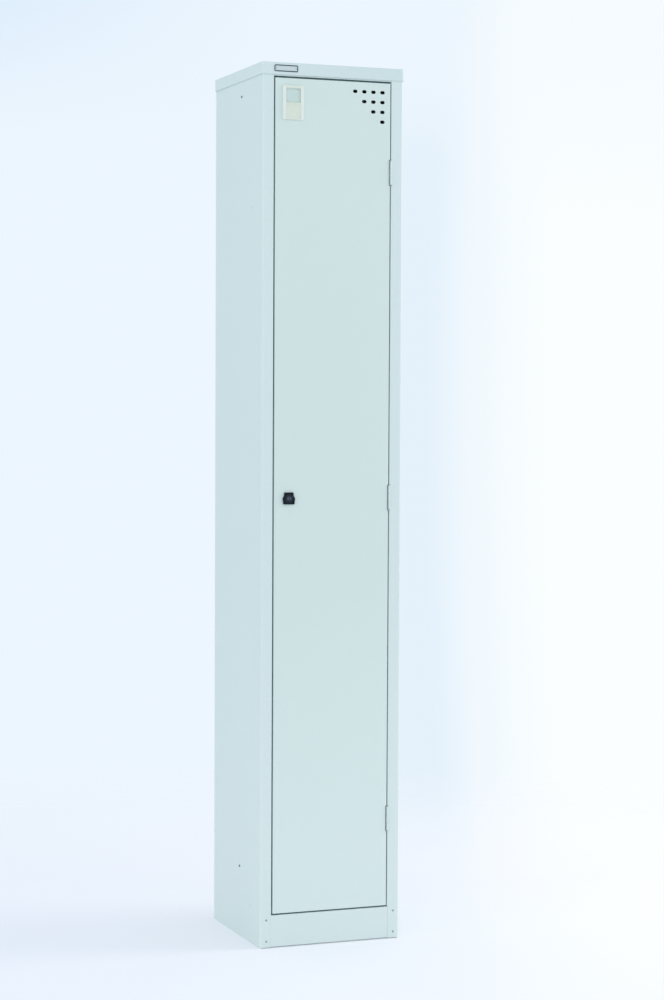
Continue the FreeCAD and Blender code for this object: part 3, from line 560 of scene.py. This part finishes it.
beads = bmesh.new()
for start, end, sunk in SEAMS:
    hollow = sunk + (end - start) / 5
    drawn_up(beads, [
        (start, front_face + sunk), ((start + end) / 2, front_face + hollow),
        (end, front_face + sunk), (end, front_face + SHEET), (start, front_face + SHEET),
    ], SEAM_LOW, SEAM_HIGH)
piece("plinth_seam_sealer", beads, body_paint, "carcass")

# %% [markdown]
# ## Spot weld marks
#
# The sheet parts are joined by spot welds. The two copper tips press the sheets together and
# leave a shallow round dent with a slightly raised lip, which the coat softens but doesn't
# hide. A dent can't be cut in a sheet that isn't ours to change, so each mark is a very low
# ring around a lower middle, a shade darker where the heat has tinted the coat. The sides show
# one where the shelf and the floor are welded in, the back has a row down each edge, and the
# door's stiffener has a row on each flange.

# %% Spot weld marks
WELD_MARK = [(0, 0.03), (1.3, 0.06), (1.9, 0.26), (2.5, 0.16), (3.0, -0.05), (0, -0.08)]
WELD_PITCH = 140 * MM
SIDE_WELD_BACK = 63 * MM
REAR_FLANGE_MIDDLE, REAR_END_ROOM = 8 * MM, 60 * MM
STIFFENER_FLANGE_MIDDLE, STIFFENER_END_ROOM = 7 * MM, 30 * MM


def weld_rows(mesh, places, normal):
    for place in places:
        spun(mesh, WELD_MARK, place, normal, steps=14)


def spaced(low, high, pitch):
    """Even places between two heights, about a pitch apart."""
    count = round((high - low) / pitch)
    return [low + (high - low) * i / count for i in range(count + 1)]


marks = bmesh.new()
for tray in ("hat_shelf", "floor_panel"):
    tray_low, tray_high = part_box(tray)
    level = (tray_low.z + tray_high.z) / 2
    for x, normal in ((left_low.x, (-1, 0, 0)), (right_high.x, (1, 0, 0))):
        weld_rows(marks, [(x, front_face + SIDE_WELD_BACK, level)], normal)
piece("side_weld_marks", marks, weld_paint, "carcass")

marks = bmesh.new()
levels = spaced(REAR_END_ROOM, left_high.z - REAR_END_ROOM, WELD_PITCH)
for x in (left_low.x + REAR_FLANGE_MIDDLE, right_high.x - REAR_FLANGE_MIDDLE):
    weld_rows(marks, [(x, left_high.y, z) for z in levels], (0, 1, 0))
piece("back_weld_marks", marks, weld_paint, "carcass")

stiffener_low, stiffener_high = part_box("door_stiffener")
flange_face = stiffener_low.y + SHEET
levels = spaced(stiffener_low.z + STIFFENER_END_ROOM, stiffener_high.z - STIFFENER_END_ROOM,
                WELD_PITCH)
marks = bmesh.new()
for x in (stiffener_low.x + STIFFENER_FLANGE_MIDDLE,
          stiffener_high.x - STIFFENER_FLANGE_MIDDLE):
    weld_rows(marks, [(x, flange_face, z) for z in levels], (0, 1, 0))
piece("stiffener_weld_marks", marks, weld_paint, "door")

# %% [markdown]
# ## Plugs in the ganging holes
#
# Each side has two holes for bolting lockers together in a row. On a locker that stands alone
# they are closed with push-in plugs of two parts: a pale split sleeve with a low flange, and a
# dark pin with a domed head, which spreads the sleeve behind the edge of the hole. The holes'
# places are read from the record's mounts.

# %% Ganging hole plugs
PLUG_SLEEVE = [(2.6, 0.3), (2.8, 0.5), (4.2, 0.42), (4.7, 0.05), (4.7, -0.05), (3.2, -0.05),
               (3.1, -1.2), (3.35, -2.2), (2.6, -3.6), (2.6, 0.3)]
PLUG_PIN = [(0, 2.3), (1.0, 2.2), (1.8, 1.75), (2.25, 1.0), (2.35, 0.3), (2.35, -3.6), (0, -3.6)]
sleeves, pins = bmesh.new(), bmesh.new()
for mount in frame["record"]["mounts"]:
    if mount["kind"] == "bolt_pattern":
        x, y, z = mount["pos_m"]
        reach = mount["dims"]["spacing_y_mm"] / 2 * MM
        for level in (z - reach, z + reach):
            spun(sleeves, PLUG_SLEEVE, (x, y, level), mount["axis"])
            spun(pins, PLUG_PIN, (x, y, level), mount["axis"])
piece("ganging_plug_sleeves", sleeves, body_paint, "carcass")
piece("ganging_plug_pins", pins, plug_plastic, "carcass")

# %% [markdown]
# ## Rail caps and bracket rivets
#
# The ends of the coat rail are closed with pushed-in black plastic caps, so that a hanger
# can't scratch itself on the cut tube. Two solid rivets hold each bracket's foot to the
# shelf, with a round head below and a flattened one above.

# %% Rail caps
RAIL_CAP = [(0, 1.6), (4.5, 1.5), (6.8, 1.1), (7.8, 0.4), (7.9, 0.0), (6.6, 0.0), (6.5, -4.0),
            (0, -4.0)]
rail_low, rail_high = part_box("coat_rail")
rail_middle = (rail_low + rail_high) / 2
caps = bmesh.new()
for x, hand in ((rail_low.x, -1), (rail_high.x, 1)):
    spun(caps, RAIL_CAP, (x, rail_middle.y, rail_middle.z), (hand, 0, 0), steps=28)
piece("rail_end_caps", caps, buffer_rubber, "carcass")

# %% Bracket rivets
ROUND_HEAD = [(0, 1.5), (1.2, 1.35), (2.2, 0.85), (2.8, 0.2), (2.9, -0.05), (0, -0.1)]
FLAT_HEAD = [(0, 0.5), (2.4, 0.45), (3.0, 0.2), (3.1, -0.05), (0, -0.1)]
BRACKET_SHEET = 1.5 * MM
FOOT_MIDDLE = 12 * MM
RIVET_SPREAD = 9 * MM
shelf_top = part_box("hat_shelf")[1].z
rivets = bmesh.new()
for bracket in ("rail_bracket_left", "rail_bracket_right"):
    low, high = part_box(bracket)
    inner = min(low.x, high.x, key=abs)
    x = inner + math.copysign(FOOT_MIDDLE, inner)
    for y in (-RIVET_SPREAD, RIVET_SPREAD):
        spun(rivets, ROUND_HEAD, (x, y, high.z - BRACKET_SHEET), (0, 0, -1))
        spun(rivets, FLAT_HEAD, (x, y, shelf_top), (0, 0, 1))
piece("bracket_rivets", rivets, bracket_zinc, "carcass")

# %% [markdown]
# ## Hinge pin heads
#
# A hinge pin is dropped in from the top and closed over at the bottom, so each has a button
# head above its knuckles and a smaller riveted end below. Neither is coated.

# %% Hinge pin heads
PIN_PROUD = 0.5 * MM
BUTTON = [(0, 1.1), (0.9, 1.0), (1.5, 0.65), (1.75, 0.15), (1.75, 0.0), (0, 0.0)]
CLOSED_END = [(0, 0.7), (0.8, 0.62), (1.3, 0.25), (1.35, 0.0), (0, 0.0)]
heads = bmesh.new()
for height in ("bottom", "middle", "top"):
    low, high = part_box(f"hinge_{height}_pin")
    x, y = (low.x + high.x) / 2, (low.y + high.y) / 2
    spun(heads, BUTTON, (x, y, high.z - PIN_PROUD), (0, 0, 1), steps=16)
    spun(heads, CLOSED_END, (x, y, low.z + PIN_PROUD), (0, 0, -1), steps=16)
piece("hinge_pin_heads", heads, pin_steel, "carcass")

# %% [markdown]
# ## Lock details
#
# The cast housing has a raised collar round its plug, and the plug has two turned rings, so
# its face catches the light in fine arcs. Behind the door the barrel is threaded for its nut.
# The thread is a ridge with a three-sided section, carried round a helix a few degrees at a
# time. All of these are thin, so they are added on top of the CAD shapes and ride with them:
# the collar and thread with the door, and the rings with the plug.

# %% Collar and rings
housing_low, housing_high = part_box("lock_housing")
plug_x, plug_z = plug_centre.x, plug_centre.z
COLLAR = [(8.95, -0.3), (8.95, 0.25), (9.15, 0.45), (9.4, 0.35), (9.55, -0.1), (8.95, -0.3)]
collar = bmesh.new()
spun(collar, COLLAR, (plug_x, housing_low.y, plug_z), (0, -1, 0), steps=40)
piece("lock_collar", collar, lock_casting, "door")

OUTER_RING = [(7.0, -0.1), (7.05, 0.2), (7.35, 0.3), (7.85, 0.28), (8.1, -0.1), (7.0, -0.1)]
INNER_RING = [(4.7, -0.1), (4.75, 0.15), (5.0, 0.25), (5.5, 0.2), (5.7, -0.1), (4.7, -0.1)]
rings = bmesh.new()
for ring in (OUTER_RING, INNER_RING):
    spun(rings, ring, (plug_x, plug_low.y, plug_z), (0, -1, 0), steps=40)
piece("lock_plug_rings", rings, ring_steel, "lock")

# %% Barrel thread
THREAD_ROOT, THREAD_CREST, THREAD_PITCH = 9.2 * MM, 9.85 * MM, 1.6 * MM
RIDGE = ((THREAD_ROOT, 0.0), (THREAD_CREST, 0.45), (THREAD_ROOT, 0.9))
THREAD_STEPS = 24
NUT_ROOM, END_ROOM = 0.2 * MM, 0.4 * MM
thread_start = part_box("lock_nut")[1].y + NUT_ROOM
turns = int((housing_high.y - END_ROOM - thread_start) / THREAD_PITCH) - 1
thread = bmesh.new()
sections = []
for i in range(turns * THREAD_STEPS + 1):
    angle = 2 * math.pi * i / THREAD_STEPS
    y = thread_start + THREAD_PITCH * i / THREAD_STEPS
    sections.append([
        thread.verts.new((plug_x + radius * math.cos(angle), y + THREAD_PITCH * part,
                          plug_z + radius * math.sin(angle)))
        for radius, part in RIDGE
    ])
join(thread, sections, 3)
for end in (sections[0], sections[-1]):
    thread.faces.new(end)
piece("lock_barrel_thread", thread, lock_casting, "door")

# %% [markdown]
# ## Cam screw
#
# The cam is held on by a pan head screw with a cross recess. The plain stand-in has neither,
# so this piece takes its place. The outside is spun. The cross is a loop of twelve points
# that goes down into the head and narrows, and the flat land between it and the round edge is
# filled with triangles.

# %% Cam screw
PAN_HEAD = [(0, -6.0), (1.5, -6.0), (1.9, -5.6), (1.9, 0.0), (6.5, 0.0), (6.5, 0.8),
            (6.2, 1.6), (5.4, 2.3), (4.4, 2.7)]
CROSS_ARM, CROSS_HALF, CROSS_DEPTH, CROSS_TAPER = 3.0, 0.75, 1.6, 0.7
SCREW_STEPS = 32
head_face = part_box("cam_screw")[1].y
seat = head_face - PAN_HEAD[-1][1] * MM
screw = bmesh.new()
rim = spun(screw, PAN_HEAD, (plug_x, seat, plug_z), (0, 1, 0), steps=SCREW_STEPS)[-1]
quarter = [(CROSS_ARM, CROSS_HALF), (CROSS_HALF, CROSS_HALF), (CROSS_HALF, CROSS_ARM)]
cross = [(u, v) for u, v in quarter] + [(-u, v) for u, v in reversed(quarter)]
cross += [(-u, -v) for u, v in quarter] + [(u, -v) for u, v in reversed(quarter)]
levels = []
for scale, depth in ((1.0, 0.0), (CROSS_TAPER, CROSS_DEPTH)):
    levels.append([
        screw.verts.new((plug_x + u * scale * MM, head_face - depth * MM,
                         plug_z + v * scale * MM))
        for u, v in cross
    ])
join(screw, levels, len(cross))
screw.faces.new(levels[1])
land = []
for loop in (rim, levels[0]):
    for first, second in zip(loop, loop[1:] + loop[:1]):
        land.append(screw.edges.get((first, second)) or screw.edges.new((first, second)))
bmesh.ops.triangle_fill(screw, use_beauty=True, edges=land)
cam_screw = piece("cam_pan_screw", screw, cam_zinc, "lock", smooth=False)
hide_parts("cam_screw")

# %% [markdown]
# ## Barbs on the label holder's pegs
#
# The holder is pushed into two holes in the door. Each of its pegs ends in a barb, a short
# cone with a sharp back edge that springs open behind the sheet.

# %% Peg barbs
BARB = [(0, -0.6), (2.4, -0.6), (3.1, -0.45), (2.1, 0.8), (1.3, 1.1), (0, 1.1)]
PEG_RISE, PEG_SPACING = 9 * MM, 18 * MM
barbs = bmesh.new()
for level in (holder_low.z + PEG_RISE, holder_low.z + PEG_RISE + PEG_SPACING):
    spun(barbs, BARB, (holder_middle, holder_high.y, level), (0, 1, 0), steps=24)
piece("label_peg_barbs", barbs, label_moulding, "door")

# %% [markdown]
# ## A blank name plate
#
# The cap carries a small plate at its left end. It is left blank here: a dark pressed rim, a
# plain enamelled field, and a pin at each end that holds it on. Rounded rings of points, each
# set in from the last and at its own height, make the rim, and the field is a thinner plate
# of the same kind that lies in it.

# %% Name plate
PLATE_LEFT, PLATE_RIGHT = -128.8 * MM, -78.1 * MM
PLATE_LOW, PLATE_HIGH = 1781.3 * MM, 1794.8 * MM
PLATE_CORNER = 3.0 * MM
CORNER_STEPS = 6
cap_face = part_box("top_cap")[0].y
plate_x, plate_z = (PLATE_LEFT + PLATE_RIGHT) / 2, (PLATE_LOW + PLATE_HIGH) / 2
half_width, half_height = (PLATE_RIGHT - PLATE_LEFT) / 2, (PLATE_HIGH - PLATE_LOW) / 2


def rounded_ring(mesh, inset, height):
    """A rounded rectangle of points, set in from the plate's edge, at a height on the cap."""
    radius = PLATE_CORNER - inset
    ring = []
    for quarter, (side, rise) in enumerate(((1, 1), (-1, 1), (-1, -1), (1, -1))):
        for step in range(CORNER_STEPS + 1):
            angle = math.pi / 2 * (quarter + step / CORNER_STEPS)
            x = plate_x + side * (half_width - PLATE_CORNER) + radius * math.cos(angle)
            z = plate_z + rise * (half_height - PLATE_CORNER) + radius * math.sin(angle)
            ring.append(mesh.verts.new((x, cap_face - height, z)))
    return ring


def plate(layers):
    """A closed plate from (inset, height) layers in millimetres."""
    mesh = bmesh.new()
    rings = [rounded_ring(mesh, inset * MM, height * MM) for inset, height in layers]
    join(mesh, rings, len(rings[0]))
    for end in (rings[0], rings[-1]):
        mesh.faces.new(end)
    return mesh


RIM_LAYERS = [(0, -0.1), (0, 0.7), (0.3, 1.0), (1.6, 1.0), (1.9, 0.6)]
piece("name_plate", plate(RIM_LAYERS), plate_enamel, "carcass", smooth=False)
FIELD_LAYERS = [(2.0, 0.5), (2.0, 0.66), (2.2, 0.72)]
piece("name_plate_field", plate(FIELD_LAYERS), plate_field, "carcass",
      smooth=False)
PLATE_PIN = [(0, 0.5), (0.6, 0.42), (0.95, 0.1), (0.95, -0.1), (0, -0.1)]
PIN_INSET, FIELD_RISE = 4.2 * MM, 0.7 * MM
pins = bmesh.new()
for x in (PLATE_LEFT + PIN_INSET, PLATE_RIGHT - PIN_INSET):
    spun(pins, PLATE_PIN, (x, cap_face - FIELD_RISE, plate_z), (0, -1, 0), steps=16)
piece("name_plate_pins", pins, rivet_steel, "carcass")

# %% [markdown]
# ## Camera
#
# The locker is seen from a little to its left and from chest height, with a long lens from
# almost five metres, so its upright edges stay nearly parallel. The camera is built from its
# place and three angles.

# %% Camera
CAMERA_PLACE = Vector((-1.7135, -4.6448, 1.1158))
YAW, PITCH, ROLL = (math.radians(a) for a in (20.882, -2.382, 0.267))
LENS, SENSOR = 84.58, 36.0
FARTHEST = 60.0

forward = Vector((math.sin(YAW) * math.cos(PITCH), math.cos(YAW) * math.cos(PITCH),
                  math.sin(PITCH)))
level_right = Vector((math.cos(YAW), -math.sin(YAW), 0))
level_up = level_right.cross(forward)
right = math.cos(ROLL) * level_right + math.sin(ROLL) * level_up
up = math.cos(ROLL) * level_up - math.sin(ROLL) * level_right
camera_data = bpy.data.cameras.new("camera")
camera_data.lens = LENS
camera_data.sensor_width = SENSOR
camera_data.clip_end = FARTHEST
camera_data.dof.use_dof = False
camera = in_scene("camera", camera_data)
camera.matrix_world = (
    Matrix.Translation(CAMERA_PLACE) @ Matrix((right, up, -forward)).transposed().to_4x4()
)
bpy.context.scene.camera = camera
print("camera at", [round(v, 3) for v in CAMERA_PLACE], "lens", LENS, "mm")

# %% [markdown]
# ## Floor and room
#
# The locker stands in a bright studio whose floor runs into its walls without a line. The
# floor is a wide disc. To the camera it is partly see-through: a little near the locker, and
# wholly at its rim. The room's own colour takes over without a horizon that way, while the
# locker's soft shadow stays. All other light meets a plain pale floor, with painted light on
# it: its paint is lighter on the right, towards the lighter end of the room, and darker on
# the left.

# %% Floor
FLOOR_REACH = 9.0
# Painted light: the floor's paint goes from the darker left colour to the lighter right one
# along X.
FLOOR_LEFT, FLOOR_RIGHT = (0.820, 0.876, 0.942), (0.930, 0.932, 0.956)
PAINTED_LIGHT_FROM, PAINTED_LIGHT_TO = -0.9, 1.15
SEE_THROUGH_NEAR = 0.25
SEE_THROUGH_FROM, SEE_THROUGH_TO = 0.75, 2.2


def seen_directly(finish):
    """1 for camera, glossy and transmission rays, which should meet the bright room."""
    path = finish.add("ShaderNodeLightPath")
    kinds = [path.outputs[f"Is {kind} Ray"] for kind in ("Camera", "Glossy", "Transmission")]
    return finish.maths("MAXIMUM", finish.maths("MAXIMUM", kinds[0], kinds[1]), kinds[2])


disc = bmesh.new()
bmesh.ops.create_circle(disc, cap_ends=True, segments=96, radius=FLOOR_REACH)
floor_data = bpy.data.meshes.new("floor")
disc.to_mesh(floor_data)
disc.free()
floor = in_scene("floor", floor_data)

ground = Finish("floor_paint", Roughness=0.9, Specular_IOR_Level=0.0)
# Painted light: the floor's paint turns lighter towards the right, where the room is brighter.
painted_floor_light = ground.between(ground.axis("X"), 0, 1, start=PAINTED_LIGHT_FROM, end=PAINTED_LIGHT_TO)
ground.set(Base_Color=ground.blend(painted_floor_light, FLOOR_LEFT, FLOOR_RIGHT))
distance = ground.add("ShaderNodeVectorMath", {0: ground.place}, operation="LENGTH")
far = ground.between(distance.outputs["Value"], SEE_THROUGH_NEAR, 1,
                     start=SEE_THROUGH_FROM, end=SEE_THROUGH_TO)
layers = ground.add("ShaderNodeMixShader", {
    0: ground.maths("MULTIPLY", seen_directly(ground), far),
    1: ground.shader.outputs["BSDF"],
    2: ground.add("ShaderNodeBsdfTransparent").outputs["BSDF"],
})
ground.feed(ground.tree.nodes["Material Output"].inputs["Surface"], layers.outputs["Shader"])
floor_data.materials.append(ground.material)
print("floor is", FLOOR_REACH * 2, "m across")

# %% [markdown]
# ## World
#
# White walls all round give most of the light in such a room, so the world is a pale, even,
# slightly blue fill. Seen directly, and in reflections, it shows the room's own colour: cool
# on the left, almost white on the right, a little darker in both upper corners, and with a
# band of soft shade on the wall to the right of the locker. All of that depends only on the
# direction. Each change has a span to the side or upwards, given as parts of a unit direction
# along X or Z, over which a mask goes from 0 to 1.

# %% World
ROOM_LEFT = (0.845, 0.921, 0.989)
ROOM_RIGHT = (0.956, 0.992, 1.000)
ROOM_SHADE = (0.780, 0.880, 0.965)
UPPER_LEFT = (0.725, 0.845, 0.980)
UPPER_RIGHT = (0.915, 0.963, 1.000)
TURN_SIDE = (0.398, 0.440)
UPPER_LEFT_SIDE, UPPER_LEFT_RISE = (0.33, 0.21), (0.11, 0.168)
UPPER_RIGHT_SIDE, UPPER_RIGHT_RISE = (0.405, 0.430), (0.075, 0.140)
BAND_LEFT, BAND_RIGHT = (0.335, 0.386), (0.408, 0.393)
BAND_TOP, BAND_FOOT = (0.135, 0.10), (-0.222, -0.185)
FILL_COLOUR = (0.890, 0.910, 1.000)
FILL_STRENGTH = 0.95


class Surround(Finish):
    """The same helpers, on the world's node tree."""

    def __init__(self, world):
        self.tree = world.node_tree
        self.place = self.add("ShaderNodeTexCoord").outputs["Generated"]


world = bpy.data.worlds.new("room")
bpy.context.scene.world = world
world.use_nodes = True
surround = Surround(world)
side, rise = surround.axis("X"), surround.axis("Z")


def mask(*spans):
    """1 where every driver is past the end of its span, 0 where one is before its start."""
    product = 1.0
    for driver, (start, end) in spans:
        product = surround.maths("MULTIPLY", product, surround.between(driver, 0, 1, start, end))
    return product


room = surround.blend(mask((side, TURN_SIDE)), ROOM_LEFT, ROOM_RIGHT)
upper_right = mask((side, UPPER_RIGHT_SIDE), (rise, UPPER_RIGHT_RISE))
room = surround.blend(upper_right, room, UPPER_RIGHT)
upper_left = mask((side, UPPER_LEFT_SIDE), (rise, UPPER_LEFT_RISE))
room = surround.blend(upper_left, room, UPPER_LEFT)
band = mask((side, BAND_LEFT), (side, BAND_RIGHT), (rise, BAND_TOP), (rise, BAND_FOOT))
room = surround.blend(band, room, ROOM_SHADE)

fill = surround.tree.nodes["Background"]
fill.inputs["Color"].default_value = rgba(FILL_COLOUR)
fill.inputs["Strength"].default_value = FILL_STRENGTH
shown = surround.add("ShaderNodeBackground", {"Color": room})
both = surround.add("ShaderNodeMixShader", {
    0: seen_directly(surround), 1: fill.outputs[0], 2: shown.outputs[0],
})
surround.feed(surround.tree.nodes["World Output"].inputs["Surface"], both.outputs[0])
print("fill strength", FILL_STRENGTH)

# %% [markdown]
# ## Lamps
#
# Three soft boxes add a little shape to the even fill: one in front on the left for the door,
# one out on the left that keeps the side as bright as the door, and a smaller one on the
# right, which lays a faint shadow on the floor to the left. All three are slightly warm, so
# where they don't reach, the blue of the fill tints the shade.

# %% Lamps
def soft_box(name, place, target, width, power, colour):
    lamp_data = bpy.data.lights.new(name, "AREA")
    lamp_data.size = width
    lamp_data.energy = power
    lamp_data.color = colour
    lamp = in_scene(name, lamp_data)
    lamp.location = place
    aim = Vector(target) - Vector(place)
    lamp.rotation_mode = "QUATERNION"
    lamp.rotation_quaternion = aim.to_track_quat("-Z", "Y")
    print(name, power, "W")


soft_box("front_left_box", (-3.0, -4.8, 2.3), (0, 0, 0.9), 2.4, 28.0, (1.0, 0.975, 0.778))
soft_box("left_box", (-4.8, -1.8, 1.8), (0, 0, 0.9), 2.4, 27.0, (0.93, 1.0, 0.64))
soft_box("right_box", (3.6, -0.8, 2.2), (0, 0, 0.5), 1.6, 50.0, (1.0, 0.95, 0.80))

# %% [markdown]
# ## Colour management
#
# Colours are shown as they are, with no film look.

# %% Colour management
bpy.context.scene.view_settings.view_transform = "Standard"
